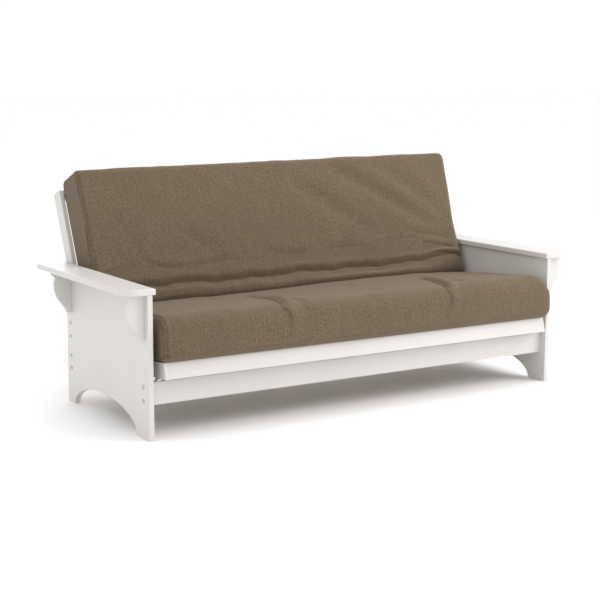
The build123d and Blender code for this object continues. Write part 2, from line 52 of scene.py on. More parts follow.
class Graph:
    """A material's node tree, with short calls for the nodes used here."""

    def __init__(self, name):
        self.material = bpy.data.materials.new(name)
        self.material.use_nodes = True
        self.tree = self.material.node_tree
        self.shader = self.tree.nodes["Principled BSDF"]

    def node(self, kind, **settings):
        made = self.tree.nodes.new(kind)
        for key, value in settings.items():
            setattr(made, key, value)
        return made

    def put(self, socket, value):
        if isinstance(value, bpy.types.NodeSocket):
            self.tree.links.new(value, socket)
        else:
            socket.default_value = value

    def math(self, operation, a, b=0.0):
        made = self.node("ShaderNodeMath", operation=operation)
        for socket, value in zip(made.inputs, (a, b)):
            self.put(socket, value)
        return made.outputs[0]

    def scaled(self, value, factor):
        return self.math("MULTIPLY", value, factor)

    def weighted(self, *terms):
        """The sum of two values, each times its own weight."""
        return self.math("ADD", *[self.scaled(value, weight) for value, weight in terms])

    def coordinates(self, source, scale=(1, 1, 1), turn=(0, 0, 0)):
        where = self.node("ShaderNodeTexCoord")
        mapping = self.node("ShaderNodeMapping")
        mapping.inputs["Rotation"].default_value = turn
        mapping.inputs["Scale"].default_value = scale
        self.put(mapping.inputs["Vector"], where.outputs[source])
        return mapping.outputs[0]

    def noise(self, vector, scale, detail=3.0, roughness=0.55, distortion=0.0):
        made = self.node("ShaderNodeTexNoise")
        self.put(made.inputs["Vector"], vector)
        settings = {"Scale": scale, "Detail": detail, "Roughness": roughness, "Distortion": distortion}
        for key, value in settings.items():
            made.inputs[key].default_value = value
        return made.outputs["Fac"]

    def spread(self, value, low, high, to_low, to_high):
        made = self.node("ShaderNodeMapRange")
        for socket, number in zip(made.inputs, (value, low, high, to_low, to_high)):
            self.put(socket, number)
        return made.outputs[0]

    def ramp(self, value, stops):
        made = self.node("ShaderNodeValToRGB")
        ramp = made.color_ramp
        while len(ramp.elements) < len(stops):
            ramp.elements.new(0.5)
        for element, (place, colour) in zip(ramp.elements, stops):
            element.position = place
            element.color = (*colour, 1.0)
        self.put(made.inputs[0], value)
        return made.outputs[0]

    def mix(self, share, a, b):
        made = self.node("ShaderNodeMix", data_type="RGBA")
        self.put(made.inputs["Factor"], share)
        for socket, colour in ((made.inputs[6], a), (made.inputs[7], b)):
            self.put(socket, colour if isinstance(colour, bpy.types.NodeSocket) else (*colour, 1.0))
        return made.outputs[2]

    def bump(self, height, distance, strength, under=None):
        made = self.node("ShaderNodeBump")
        made.inputs["Strength"].default_value = strength
        made.inputs["Distance"].default_value = distance
        self.put(made.inputs["Height"], height)
        if under is not None:
            self.put(made.inputs["Normal"], under)
        return made.outputs[0]

    def edges(self, radius):
        """1 on an edge and 0 on a flat face, with the rounded normal that goes with it."""
        bevel = self.node("ShaderNodeBevel", samples=4)
        bevel.inputs["Radius"].default_value = radius
        plain = self.node("ShaderNodeNewGeometry")
        dot = self.node("ShaderNodeVectorMath", operation="DOT_PRODUCT")
        self.put(dot.inputs[0], bevel.outputs[0])
        self.put(dot.inputs[1], plain.outputs["Normal"])
        return self.spread(dot.outputs["Value"], 0.75, 0.99, 1.0, 0.0), bevel.outputs[0]

    def finish(self, **sockets):
        for key, value in sockets.items():
            self.put(self.shader.inputs[key.replace("_", " ").title().replace("Ior", "IOR")], value)
        return self.material


def along(axis, scale_along, scale_across):
    """Texture scale for grain that runs along one axis."""
    return tuple(scale_along if a == axis else scale_across for a in "xyz")


def painted_wood(name, axis, turn=0.0):
    """Satin white paint on sanded wood: faint grain, roller stipple, softened and slightly worn edges."""
    g = Graph(name)
    tilt = (turn, 0, 0)
    space = g.coordinates("Object", along(axis, 1.6, 26.0), tilt)
    grain = g.noise(space, 3.2, detail=5.0, roughness=0.62, distortion=0.35)
    fine = g.noise(g.coordinates("Object", along(axis, 6.0, 240.0), tilt), 2.5, roughness=0.6)
    patch = g.noise(g.coordinates("Object"), 2.3, detail=2.0)
    stipple = g.noise(g.coordinates("Object"), 620.0, detail=2.0, roughness=0.7)
    worn, rounded = g.edges(0.0026)
    scratches = g.noise(g.coordinates("Object"), 48.0, detail=6.0, roughness=0.7)
    scuffs = g.spread(scratches, 0.54, 0.70, 0.0, 1.0)
    colour = g.ramp(patch, [(0.25, (0.612, 0.588, 0.569)), (0.75, (0.652, 0.630, 0.612))])
    colour = g.mix(g.spread(grain, 0.35, 0.72, 0.0, 0.16), colour, (0.50, 0.475, 0.45))
    colour = g.mix(g.math("MULTIPLY", worn, g.scaled(scuffs, 0.55)), colour, (0.53, 0.46, 0.37))
    rough = g.math("ADD", g.spread(fine, 0.3, 0.7, 0.34, 0.44), g.scaled(worn, 0.10))
    normal = g.bump(g.weighted((grain, 0.7), (fine, 0.3)), 0.0011, 0.30, rounded)
    normal = g.bump(stipple, 0.0002, 0.22, normal)
    return g.finish(base_color=colour, roughness=rough, normal=normal, coat_weight=0.12,
                    coat_roughness=0.28)


def bare_wood(name, axis, turn=0.0, tone=1.0):
    """Sanded pale hardwood with growth rings, pores and a dull sheen."""
    g = Graph(name)
    tilt = (turn, 0, 0)
    space = g.coordinates("Object", along(axis, 1.3, 15.0), tilt)
    wander = g.noise(space, 2.2, detail=4.0, distortion=0.9)
    rings = g.node("ShaderNodeTexWave", wave_type="RINGS", rings_direction="SPHERICAL")
    g.put(rings.inputs["Vector"], space)
    for key, value in (("Scale", 0.55), ("Distortion", 7.0), ("Detail", 3.0), ("Detail Scale", 1.4)):
        rings.inputs[key].default_value = value
    fibres = g.coordinates("Object", along(axis, 24.0, 900.0), tilt)
    pores = g.noise(fibres, 1.4, detail=2.0, roughness=0.75)
    dark = g.spread(pores, 0.60, 0.74, 0.0, 1.0)
    worn, rounded = g.edges(0.0018)
    light = tuple(c * tone for c in (0.66, 0.50, 0.325))
    deep = tuple(c * tone for c in (0.50, 0.345, 0.195))
    between = tuple((a + b) / 2 for a, b in zip(light, deep))
    colour = g.ramp(g.weighted((wander, 0.55), (rings.outputs["Fac"], 0.45)),
                    [(0.22, light), (0.55, between), (0.85, deep)])
    colour = g.mix(g.scaled(dark, 0.45), colour, (0.25, 0.155, 0.085))
    colour = g.mix(g.scaled(worn, 0.35), colour, (0.74, 0.60, 0.43))
    rough = g.spread(wander, 0.3, 0.7, 0.50, 0.66)
    height = g.math("SUBTRACT", g.scaled(wander, 0.5), g.scaled(dark, 0.5))
    return g.finish(base_color=colour, roughness=rough, normal=g.bump(height, 0.0008, 0.35, rounded))


def metal(name, colour, roughness, fleck):
    """Plated steel or brass: soft mottling, fine turning marks, lighter rubbed edges."""
    g = Graph(name)
    cloud = g.noise(g.coordinates("Object"), 90.0, detail=4.0, roughness=0.6)
    marks = g.noise(g.coordinates("Object", (60.0, 900.0, 900.0)), 1.5, detail=2.0)
    worn, rounded = g.edges(0.0006)
    dull = tuple(c * 0.78 for c in colour)
    tone = g.mix(g.spread(cloud, 0.3, 0.7, 0.0, 1.0), dull, colour)
    tone = g.mix(g.scaled(worn, 0.5), tone, fleck)
    rough = g.spread(marks, 0.3, 0.7, roughness - 0.07, roughness + 0.09)
    return g.finish(base_color=tone, roughness=rough, metallic=1.0,
                    normal=g.bump(marks, 0.0001, 0.4, rounded))


def nylon(name):
    """Moulded off-white nylon, faintly cloudy and scuffed."""
    g = Graph(name)
    cloud = g.noise(g.coordinates("Object"), 70.0, detail=4.0, roughness=0.6)
    scuff = g.noise(g.coordinates("Object"), 900.0, detail=2.0, roughness=0.7)
    worn, rounded = g.edges(0.0008)
    tone = g.ramp(cloud, [(0.3, (0.66, 0.645, 0.59)), (0.7, (0.74, 0.73, 0.68))])
    tone = g.mix(g.scaled(worn, 0.3), tone, (0.80, 0.79, 0.75))
    return g.finish(base_color=tone, roughness=g.spread(scuff, 0.3, 0.7, 0.36, 0.5), ior=1.53,
                    normal=g.bump(scuff, 0.0001, 0.35, rounded))


def twill(name, pitch=0.0021):
    """Woven taupe cover cloth: diagonal twill ribs with painted shade in the grooves between yarns, uneven
    yarns, heathered colour, soft sheen.
    """
    g = Graph(name)
    where = g.node("ShaderNodeTexCoord")
    part = g.node("ShaderNodeSeparateXYZ")
    g.put(part.inputs[0], where.outputs["UV"])
    across = g.math("DIVIDE", part.outputs["X"], pitch)
    down = g.math("DIVIDE", part.outputs["Y"], pitch)
    warp = g.math("ABSOLUTE", g.math("SINE", g.scaled(across, math.pi)))
    weft = g.math("ABSOLUTE", g.math("SINE", g.scaled(down, math.pi)))
    step = g.math("FRACT", g.scaled(g.math("ADD", g.math("FLOOR", across), g.math("FLOOR", down)), 0.25))
    on_top = g.math("LESS_THAN", step, 0.49)
    yarn = g.math("ADD", g.math("MULTIPLY", warp, on_top),
                  g.math("MULTIPLY", g.scaled(weft, 0.8), g.math("SUBTRACT", 1.0, on_top)))
    slub_across = g.noise(g.coordinates("UV", (14.0, 240.0, 1.0)), 1.0, roughness=0.6)
    slub_down = g.noise(g.coordinates("UV", (240.0, 14.0, 1.0)), 1.0, roughness=0.6)
    mottle = g.noise(g.coordinates("UV", (250.0, 95.0, 1.0), (0.0, 0.0, 0.35)), 1.0, detail=2.0)
    ribs = g.noise(g.coordinates("UV", (105.0, 7.0, 1.0)), 1.0, detail=2.0, roughness=0.5)
    slub = g.math("ADD", g.weighted((slub_across, 0.12), (ribs, 0.11)),
                  g.weighted((slub_down, 0.20), (mottle, 0.57)))
    fleck = g.noise(g.coordinates("UV"), 150.0, detail=2.0, roughness=0.8)
    cloud = g.noise(g.coordinates("UV"), 3.2, detail=4.0)
    base = g.ramp(slub, [(0.38, (0.076, 0.052, 0.030)), (0.50, (0.135, 0.096, 0.060)),
                         (0.62, (0.208, 0.154, 0.101))])
    base = g.mix(g.spread(fleck, 0.38, 0.62, 0.0, 0.34), base, (0.192, 0.142, 0.091))
    base = g.mix(g.spread(cloud, 0.3, 0.7, 0.0, 0.30), base, (0.118, 0.084, 0.053))
    # painted shade: darker where the yarn height is low, in the grooves between yarns; this also draws the
    # twill's diagonal lines
    base = g.mix(g.spread(yarn, 0.0, 0.75, 0.62, 0.0), base, (0.058, 0.042, 0.027))
    height = g.weighted((yarn, 0.75), (slub, 0.6))
    normal = g.bump(g.noise(g.coordinates("UV"), 34.0, detail=4.0, roughness=0.6), 0.0016, 0.28)
    normal = g.bump(height, 0.0007, 0.60, normal)
    rough = g.spread(slub, 0.3, 0.7, 0.84, 0.96)
    return g.finish(base_color=base, roughness=rough, normal=normal, sheen_weight=0.18,
                    sheen_roughness=0.55, sheen_tint=(0.92, 0.82, 0.68, 1.0), specular_ior_level=0.22)


def thread(name):
    """Matt sewing thread a little lighter than the cover."""
    g = Graph(name)
    ply = g.noise(g.coordinates("Object", (900.0, 900.0, 900.0)), 1.0, detail=2.0, roughness=0.7)
    tone = g.ramp(ply, [(0.35, (0.20, 0.15, 0.10)), (0.65, (0.33, 0.26, 0.18))])
    return g.finish(base_color=tone, roughness=0.8, normal=g.bump(ply, 0.0003, 0.5), sheen_weight=0.1)


FINISH = {
    "satin_nickel": metal("satin_nickel", (0.60, 0.58, 0.56), 0.38, (0.80, 0.79, 0.77)),
    "zinc_steel": metal("zinc_steel", (0.63, 0.64, 0.65), 0.34, (0.80, 0.80, 0.80)),
    "insert_brass": metal("insert_brass", (0.72, 0.55, 0.26), 0.30, (0.86, 0.72, 0.42)),
    "nylon": nylon("nylon"),
}
GRAIN = {
    ("white_painted_wood", "x"): painted_wood("white_paint_x", "x"),
    ("white_painted_wood", "y"): painted_wood("white_paint_y", "y"),
    ("white_painted_wood", "z"): painted_wood("white_paint_z", "z"),
    ("white_painted_wood", "back"): painted_wood("white_paint_back", "z", BACK_LEAN),
    ("bare_hardwood", "x"): bare_wood("bare_wood_x", "x"),
    ("bare_hardwood", "y"): bare_wood("bare_wood_y", "y", tone=0.92),
    ("bare_hardwood", "back"): bare_wood("bare_wood_back", "z", BACK_LEAN),
}


def grain_of(node):
    """The way the wood runs in a board, by what the board is."""
    if "side_panel" in node or "corbel" in node:
        return "z"
    if "arm_board" in node or "track_board" in node:
        return "y"
    if "stringer" in node or "ledger" in node or node == "arm_dowels":
        return "x"
    if node.startswith("seat_"):
        return "x" if node in ("seat_front_rail", "seat_rear_rail") else "y"
    return "x" if node in ("back_top_rail", "back_bottom_rail") else "back"


SLOT = {s["node"]: s["material_slot"] for s in frame["record"]["subparts"]}
for name, piece in frame["nodes"].items():
    slot = SLOT[name]
    if slot == "mattress_cover":
        continue
    chosen = FINISH.get(slot) or GRAIN[(slot, grain_of(name))]
    piece.data.materials.clear()
    piece.data.materials.append(chosen)


# ---------------------------------------------------------------- mattress, its starting shape

# Lengths are in metres. On each deck, u runs from the fold line along the deck and h up from it.
HALF_LENGTH = 0.952           # the end seams; the ends bulge a little past them
SHIFT = 0.006                 # the pad lies a little nearer one arm
ARM_GAP = 0.9705              # the farthest an end may reach between the arms
SEAT_FRONT = -0.722           # along the seat from the fold line, before the filling swells
BACK_TOP = 0.754              # along the back from the fold line
TOP_SLOPE = 0.009             # the top edge is that much higher at one end, and lower at the other
UNDER = 0.0335                # the decks' faces, above the fold line
OVER = 0.2110                 # the cover's face that people sit on and lean against
CROWN = 0.006                 # how much the middle of the pad stands over its edges
FRONT_ROUNDING = (0.13, 0.37)    # shares of the thickness: the seat's front edge, below and above
TOP_ROUNDING = (0.12, 0.15)      # the back's top edge, behind and in front
END_ROUNDING = (0.022, 0.040)    # at the two ends of the length
UNDER_ROUNDING = 0.55         # how much of that the underside takes
EDGE_ROUNDING = 0.4           # and how much the front and the top edge take
SEAT_FOLD = -0.205            # where the modelled fold starts on the seat and ends on the back
BACK_FOLD = 0.295
HEEL_RADIUS = 0.070           # the cover's outer side round the fold
HEEL_SAMPLES = 1601

COLUMNS = 150
END_STEPS = (0.0, 0.003, 0.008, 0.014, 0.021, 0.029)     # narrow columns at each end
END_WIDTH = 0.037
ROWS_STRAIGHT = 50            # on the seat in front of the fold, and on the back above it
LIP_ROWS, POCKET_ROWS, ROLL_ROWS = 8, 14, 34
LAYERS = 16
END_CLOTH = 3.0               # keeps the end faces apart from the rest in the UV map

# The cover follows the seat on one side of a plane through the fold line and the lower
# crease, and the back on the other side. The crease itself is a narrow pocket on that
# plane, deep enough to open out flat between the two halves when the bed is made.
CREASE_MID = np.array([0.093, 0.442])
CREASE_REACH = np.linalg.norm(CREASE_MID - PIVOT)
CREASE_LINE = (CREASE_MID - PIVOT) / CREASE_REACH
CREASE_SIDE = np.array([CREASE_LINE[1], -CREASE_LINE[0]])
POCKET_HALF = 0.004
POCKET_SAMPLES = 201
LIP_DROP = 0.006              # the pocket's mouth, below the seat's lip
LIP_FOLLOWS = 0.8             # how much of the crease's rise the seat beside it takes
VALLEY_Y = 0.1265             # the upper crease
ABOVE_VALLEY_Y = 0.1185
ROLL_HEIGHT = 0.050           # between the two creases, where the roll has its full size

# Places along the length, then the values there.
LOW_CREASE = ((-0.95, -0.70, -0.34, 0.0, 0.35, 0.65, 0.80, 0.95),
              (0.437, 0.439, 0.441, 0.450, 0.459, 0.459, 0.453, 0.442))
HIGH_CREASE = ((-0.95, -0.69, -0.57, -0.42, -0.20, 0.03, 0.29, 0.56, 0.71, 0.83, 0.95),
               (0.484, 0.491, 0.496, 0.489, 0.490, 0.497, 0.495, 0.494, 0.504, 0.519, 0.507))
HIGH_WAVES = ((0.0034, 23.0, 0.6), (0.0022, 51.0, 0.0))     # size, rate and start
CREASE_DEPTH = ((-0.95, -0.80, -0.45, 0.45, 0.75, 0.95), (0.55, 0.80, 1.0, 1.0, 0.65, 0.35))
ROLL_FULLNESS = ((-0.95, -0.70, -0.40, 0.0, 0.30, 0.60, 0.80, 0.95),
                 (0.5, 0.8, 1.1, 0.9, 1.1, 0.8, 0.35, 0.2))
SEAT_FULLNESS = ((0.3, 0.6, 0.88, HALF_LENGTH), (0.0, 0.007, 0.009, 0.004))


def seat_point(u, h):
    return PIVOT + np.multiply.outer(u, SEAT_ALONG) + np.multiply.outer(h, SEAT_UP)


def back_point(u, h):
    return PIVOT + np.multiply.outer(u, BACK_ALONG) + np.multiply.outer(h, BACK_OUT)


def crease_point(reach, aside):
    """A point by its distance from the fold line along the dividing plane, and off that plane."""
    return PIVOT + CREASE_LINE * reach + CREASE_SIDE * aside


def beyond(points):
    """How far points lie past the dividing plane, on the back's side."""
    return (points - PIVOT) @ CREASE_SIDE


def smoothstep(t):
    return t * t * (3 - 2 * t)


def shares(points):
    """The part of the fold's turn each point takes: 0 with the seat, 1 with the back."""
    return smoothstep(np.clip((beyond(points) + POCKET_HALF) / (2 * POCKET_HALF), 0, 1))


def length_of(line):
    """The length of a line of points from its start to each point."""
    return np.concatenate([[0.0], np.cumsum(np.linalg.norm(np.diff(line, axis=0), axis=1))])


def evenly(line, count):
    run = length_of(line)
    even = np.linspace(0.0, run[-1], count)
    return np.stack([np.interp(even, run, line[:, k]) for k in range(line.shape[1])], axis=1)


def smooth_line(points, count):
    """count points evenly spaced on a smooth line through the given ones (centripetal Catmull-Rom)."""
    p = np.array(points, float)
    p = np.vstack([2 * p[0] - p[1], p, 2 * p[-1] - p[-2]])
    dense = []
    for i in range(1, len(p) - 2):
        knots = [0.0]
        for j in range(3):
            knots.append(knots[-1] + np.linalg.norm(p[i + j] - p[i + j - 1]) ** 0.5)
        t = np.linspace(knots[1], knots[2], 24, endpoint=False)[:, None]
        line = p[i - 1:i + 3]
        for span in (1, 2):
            line = [((knots[j + span] - t) * line[j] + (t - knots[j]) * line[j + 1])
                    / (knots[j + span] - knots[j]) for j in range(4 - span)]
        dense.append(((knots[2] - t) * line[0] + (t - knots[1]) * line[1]) / (knots[2] - knots[1]))
    return evenly(np.vstack([*dense, p[-2]]), count)


def fold_inner(x):
    """The cover's inner side through the fold: the seat's lip, the pocket, the roll and the back."""
    low = np.interp(x, *LOW_CREASE)
    high = np.interp(x, *HIGH_CREASE)
    high += sum(size * math.sin(rate * x + start) for size, rate, start in HIGH_WAVES)
    lip = (low - PIVOT[1]) / CREASE_LINE[1]
    depth = np.interp(x, *CREASE_DEPTH)
    swollen = np.interp(x, *ROLL_FULLNESS)
    rise = (high - low) / ROLL_HEIGHT
    seat_level = OVER + (low - CREASE_MID[1]) * LIP_FOLLOWS + 0.001
    to_lip = smooth_line([
        seat_point(SEAT_FOLD, seat_level),
        seat_point(SEAT_FOLD + 0.030, seat_level),
        crease_point(lip + 0.0005, -POCKET_HALF - 0.012),
        crease_point(lip - LIP_DROP, -POCKET_HALF),
    ], LIP_ROWS + 1)
    turn = np.linspace(0.0, 1.0, POCKET_ROWS + 1)
    sides = np.linspace(-1, 1, POCKET_SAMPLES) * POCKET_HALF
    aside = np.interp(turn, shares(crease_point(CREASE_REACH, 0.0) + np.outer(sides, CREASE_SIDE)), sides)
    reach = (lip - LIP_DROP) * math.cos(OPENING / 2) / np.cos(OPENING / 2 * (1 - 2 * turn))
    pocket = PIVOT + np.outer(reach, CREASE_LINE) + np.outer(aside, CREASE_SIDE)
    valley = np.array([VALLEY_Y - 0.006 * (1 - depth), high])
    roll = smooth_line([
        pocket[-1],
        crease_point(lip - 0.002, POCKET_HALF + 0.0006),
        crease_point(lip + 0.004 * rise, POCKET_HALF + 0.0040 - 0.002 * swollen),
        crease_point(lip + 0.014 * rise, POCKET_HALF + 0.0125 - 0.004 * swollen),
        valley + np.array([-0.0230, -0.0160]) * (0.65 + 0.35 * swollen),
        valley + np.array([-0.0095, -0.0040]),
        valley,
        valley + np.array([-0.0035 * depth - 0.001, 0.0130]),
        np.array([ABOVE_VALLEY_Y, high + 0.0330]),
        back_point(BACK_FOLD - 0.018, OVER),
        back_point(BACK_FOLD, OVER),
    ], ROLL_ROWS + 1)
    return np.vstack([to_lip[:-1], pocket, roll[1:]])


def heel():
    """The cover's outer side round the fold, over the gap between the decks, in the inner side's rows."""
    reach = HEEL_RADIUS * math.tan(OPENING / 2)
    corner = UNDER * math.tan(OPENING / 2)
    start = -corner - reach
    end = corner + reach
    centre = seat_point(start, UNDER + HEEL_RADIUS)
    from_angle, to_angle = (math.atan2(*(spot - centre)[::-1])
                            for spot in (seat_point(start, UNDER), back_point(end, UNDER)))
    points = [seat_point(u, UNDER) for u in (SEAT_FOLD, (start + SEAT_FOLD) / 2, start)]
    for share in (0.25, 0.5, 0.75):
        a = from_angle + (to_angle - from_angle) * share
        points.append(centre + HEEL_RADIUS * np.array([math.cos(a), math.sin(a)]))
    points += [back_point(u, UNDER) for u in (end, (end + BACK_FOLD) / 2, BACK_FOLD)]
    line = smooth_line(points, HEEL_SAMPLES)
    past = beyond(line)
    seat_side, back_side = line[past <= -POCKET_HALF], line[past >= POCKET_HALF]
    middle = line[(past > -POCKET_HALF) & (past < POCKET_HALF)]
    return np.vstack([evenly(seat_side, LIP_ROWS + 1)[:-1],
                      evenly(np.vstack([seat_side[-1:], middle, back_side[:1]]), POCKET_ROWS + 1),
                      evenly(back_side, ROLL_ROWS + 1)[1:]])


HEEL = heel()


def cross_section(x):
    """Outer and inner lines of the mattress at x, from the seat's front edge to the back's top edge."""
    seat_u = np.linspace(SEAT_FRONT, SEAT_FOLD, ROWS_STRAIGHT + 1)
    back_u = np.linspace(BACK_FOLD, BACK_TOP + TOP_SLOPE * x / HALF_LENGTH, ROWS_STRAIGHT + 1)
    outer = np.vstack([seat_point(seat_u, np.full_like(seat_u, UNDER))[:-1], HEEL,
                       back_point(back_u, np.full_like(back_u, UNDER))[1:]])
    fold = fold_inner(x)
    lift = (fold[0] - seat_point(SEAT_FOLD, OVER)) @ SEAT_UP
    crown = CROWN * (1 - (abs(x - SHIFT) / HALF_LENGTH) ** 3)
    along = np.linspace(0.0, 1.0, ROWS_STRAIGHT + 1)
    fuller = np.interp(x, *SEAT_FULLNESS)
    seat_h = OVER + lift * along ** 2 + (crown + fuller) * np.sin(math.pi * np.sqrt(along))
    back_h = OVER + crown * np.sin(math.pi * along)
    inner = np.vstack([seat_point(seat_u, seat_h)[:-1], fold, back_point(back_u, back_h)[1:]])
    return outer, inner


def round_corner(s, t):
    """Moves points of a square corner region, both coordinates 0 to 1, onto a quarter disc."""
    return s * np.sqrt(1 - t * t / 2), t * np.sqrt(1 - s * s / 2)


def mattress_lattice():
    """Points of a box-like lattice bent to the sofa position."""
    inset = np.array(END_STEPS)
    middle = np.linspace(-HALF_LENGTH + END_WIDTH, HALF_LENGTH - END_WIDTH, COLUMNS + 1)
    xs = np.concatenate([-HALF_LENGTH + inset, middle, (HALF_LENGTH - inset)[::-1]]) + SHIFT
    thick = OVER - UNDER
    place = np.zeros((len(xs), 2 * ROWS_STRAIGHT + len(HEEL), LAYERS + 1, 3))
    for i, x in enumerate(xs):
        outer, inner = cross_section(x)
        run = length_of(outer)
        end_rounding = END_ROUNDING[int(x > 0)]
        from_end = min(HALF_LENGTH - abs(x - SHIFT), end_rounding) / end_rounding
        drawn_in = end_rounding * (1 - math.sqrt(1 - (1 - from_end) ** 2))
        for k, t in enumerate(np.linspace(0.0, 1.0, LAYERS + 1)):
            s_new = run.copy()
            t_new = np.full(len(run), t)
            upper = int(t > 0.5)
            for rounding, at_front in ((FRONT_ROUNDING[upper], True), (TOP_ROUNDING[upper], False)):
                radius = rounding * thick
                corner_t = max(0.0, (abs(t - 0.5) - (0.5 - rounding)) / rounding)
                from_edge = run if at_front else run[-1] - run
                near = from_edge < radius
                a, b = round_corner(1 - from_edge[near] / radius, np.full(near.sum(), corner_t))
                moved = radius * (1 - a)
                s_new[near] = moved if at_front else run[-1] - moved
                t_new[near] = 0.5 + (1 if upper else -1) * (0.5 - rounding + rounding * b)
            thinner = 1 - drawn_in / (0.5 * thick) * (1.0 if upper else UNDER_ROUNDING)
            t_new = 0.5 + (t_new - 0.5) * thinner
            s_new = EDGE_ROUNDING * drawn_in + s_new * (1 - 2 * EDGE_ROUNDING * drawn_in / run[-1])
            o = np.stack([np.interp(s_new, run, outer[:, c]) for c in range(2)], 1)
            q = np.stack([np.interp(s_new, run, inner[:, c]) for c in range(2)], 1)
            place[i, :, k, 0] = x
            place[i, :, k, 1:] = o + (q - o) * t_new[:, None]
    return place


def opened(line):
    """The same points with the fold opened flat."""
    turn = -OPENING * shares(line)
    y, z = (line - PIVOT).T
    return PIVOT + np.stack([y * np.cos(turn) - z * np.sin(turn), y * np.sin(turn) + z * np.cos(turn)], 1)


def lattice_mesh(name, place):
    """The closed surface of the lattice as a mesh of quads, with a UV map in metres of cloth."""
    ni, nj, nk = (n - 1 for n in place.shape[:3])
    index = -np.ones(place.shape[:3], int)
    shell = np.zeros(place.shape[:3], bool)
    shell[[0, -1]] = shell[:, [0, -1]] = shell[:, :, [0, -1]] = True
    index[shell] = np.arange(shell.sum())
    mid = place[ni // 2]
    length_in = length_of(opened(mid[:, nk, 1:]))
    length_out = length_of(mid[:, 0, 1:])
    depth_front = length_of(mid[0])
    depth_top = length_of(mid[-1])
    x_run = place[:, 0, 0, 0]
    faces, uvs = [], []

    def patch(grid, u, v, flip):
        a, b = grid.shape
        for m in range(a - 1):
            for n in range(b - 1):
                quad = [(m, n), (m + 1, n), (m + 1, n + 1), (m, n + 1)]
                if flip:
                    quad.reverse()
                faces.append([int(grid[c]) for c in quad])
                uvs.extend((u[c], v[c]) for c in quad)

    def flat(us, vs):
        return np.meshgrid(us, vs, indexing="ij")

    patch(index[:, :, nk], *flat(x_run, length_in), False)
    patch(index[:, :, 0], *flat(x_run, length_out), True)
    patch(index[:, 0, :], *flat(x_run, depth_front - depth_front[-1]), False)
    patch(index[:, nj, :], *flat(x_run, length_in[-1] + depth_top[-1] - depth_top), True)
    for i, flip in ((0, False), (ni, True)):
        patch(index[i].T, place[i, :, :, 1].T + END_CLOTH, place[i, :, :, 2].T, not flip)
    mesh = bpy.data.meshes.new(name)
    mesh.from_pydata(place[shell].tolist(), [], faces)
    mesh.uv_layers.new(name="cloth").data.foreach_set("uv", np.array(uvs, np.float32).ravel())
    mesh.update()
    return mesh, index


# ---------------------------------------------------------------- mattress, its filling and folds

SWELL = 0.0150                # the farthest the filling pushes the cover out
SWELL_FRAMES = 20
END_EASE = 0.008              # over which an end slows down before it reaches ARM_GAP
FIRM = 0.55                   # how strongly the edges and the roll are held while it swells
FIRM_ROLL_ROWS = 24           # of the roll between the two creases
FREE_EDGE_ROWS = 3            # of the underside; the rest of it lies on the decks
CLOTH = {
    "quality": 4, "mass": 0.35, "tension_stiffness": 12.0, "compression_stiffness": 8.0,
    "shear_stiffness": 6.0, "bending_stiffness": 1.2, "air_damping": 2.0, "use_pressure": True,
    "uniform_pressure_force": 4.0, "shrink_min": -0.012, "vertex_group_mass": "held",
}
UNEVEN = 0.0062               # height of the filling's lumps
BROAD_LUMPS, BROAD_SHARE = 5.5, 0.55
SMALL_LUMPS, SMALL_SHARE = (14, 9, 9), 0.30
LUMP_SEED = 20
FREE_OVER_DECK = 0.02         # the lumps start that far above the decks
FREE_OF_POCKET = 0.002
BACK_WIDER = 0.026            # at one top corner of the back
WIDER_FROM, WIDER_OVER = 0.42, 0.30
BOARD_TOP, BOARD_TOP_EASE = 0.116, 0.03  # the track board beside the cover in the bed, with room to spare
BOARD_END, BOARD_END_EASE = 0.53, 0.06
FRONT_BULGE = 0.016           # one end of the seat's front, ahead of the arm
ARM_FRONT, ARM_EASE = -0.452, 0.035
BULGE_FROM, BULGE_OVER = 0.90, 0.06
BULGE_HEIGHT, BULGE_HALF = 0.125, 0.10
FOLD_LIP = 0.5                # the raised lip beside a fold, as a share of its depth
FOLD_FADE = 0.6
FOLD_REACH = 4                # in widths of the fold
FOLD_SAMPLES, FOLD_STEP = 60, 0.008
BACK_FOLD_HEIGHT = 0.226      # h of the folds on the back, just over the cover


def seat_spot(x, u, h):
    return [x, *seat_point(u, h)]


def back_spot(x, u):
    return [x, *back_point(u, BACK_FOLD_HEIGHT)]


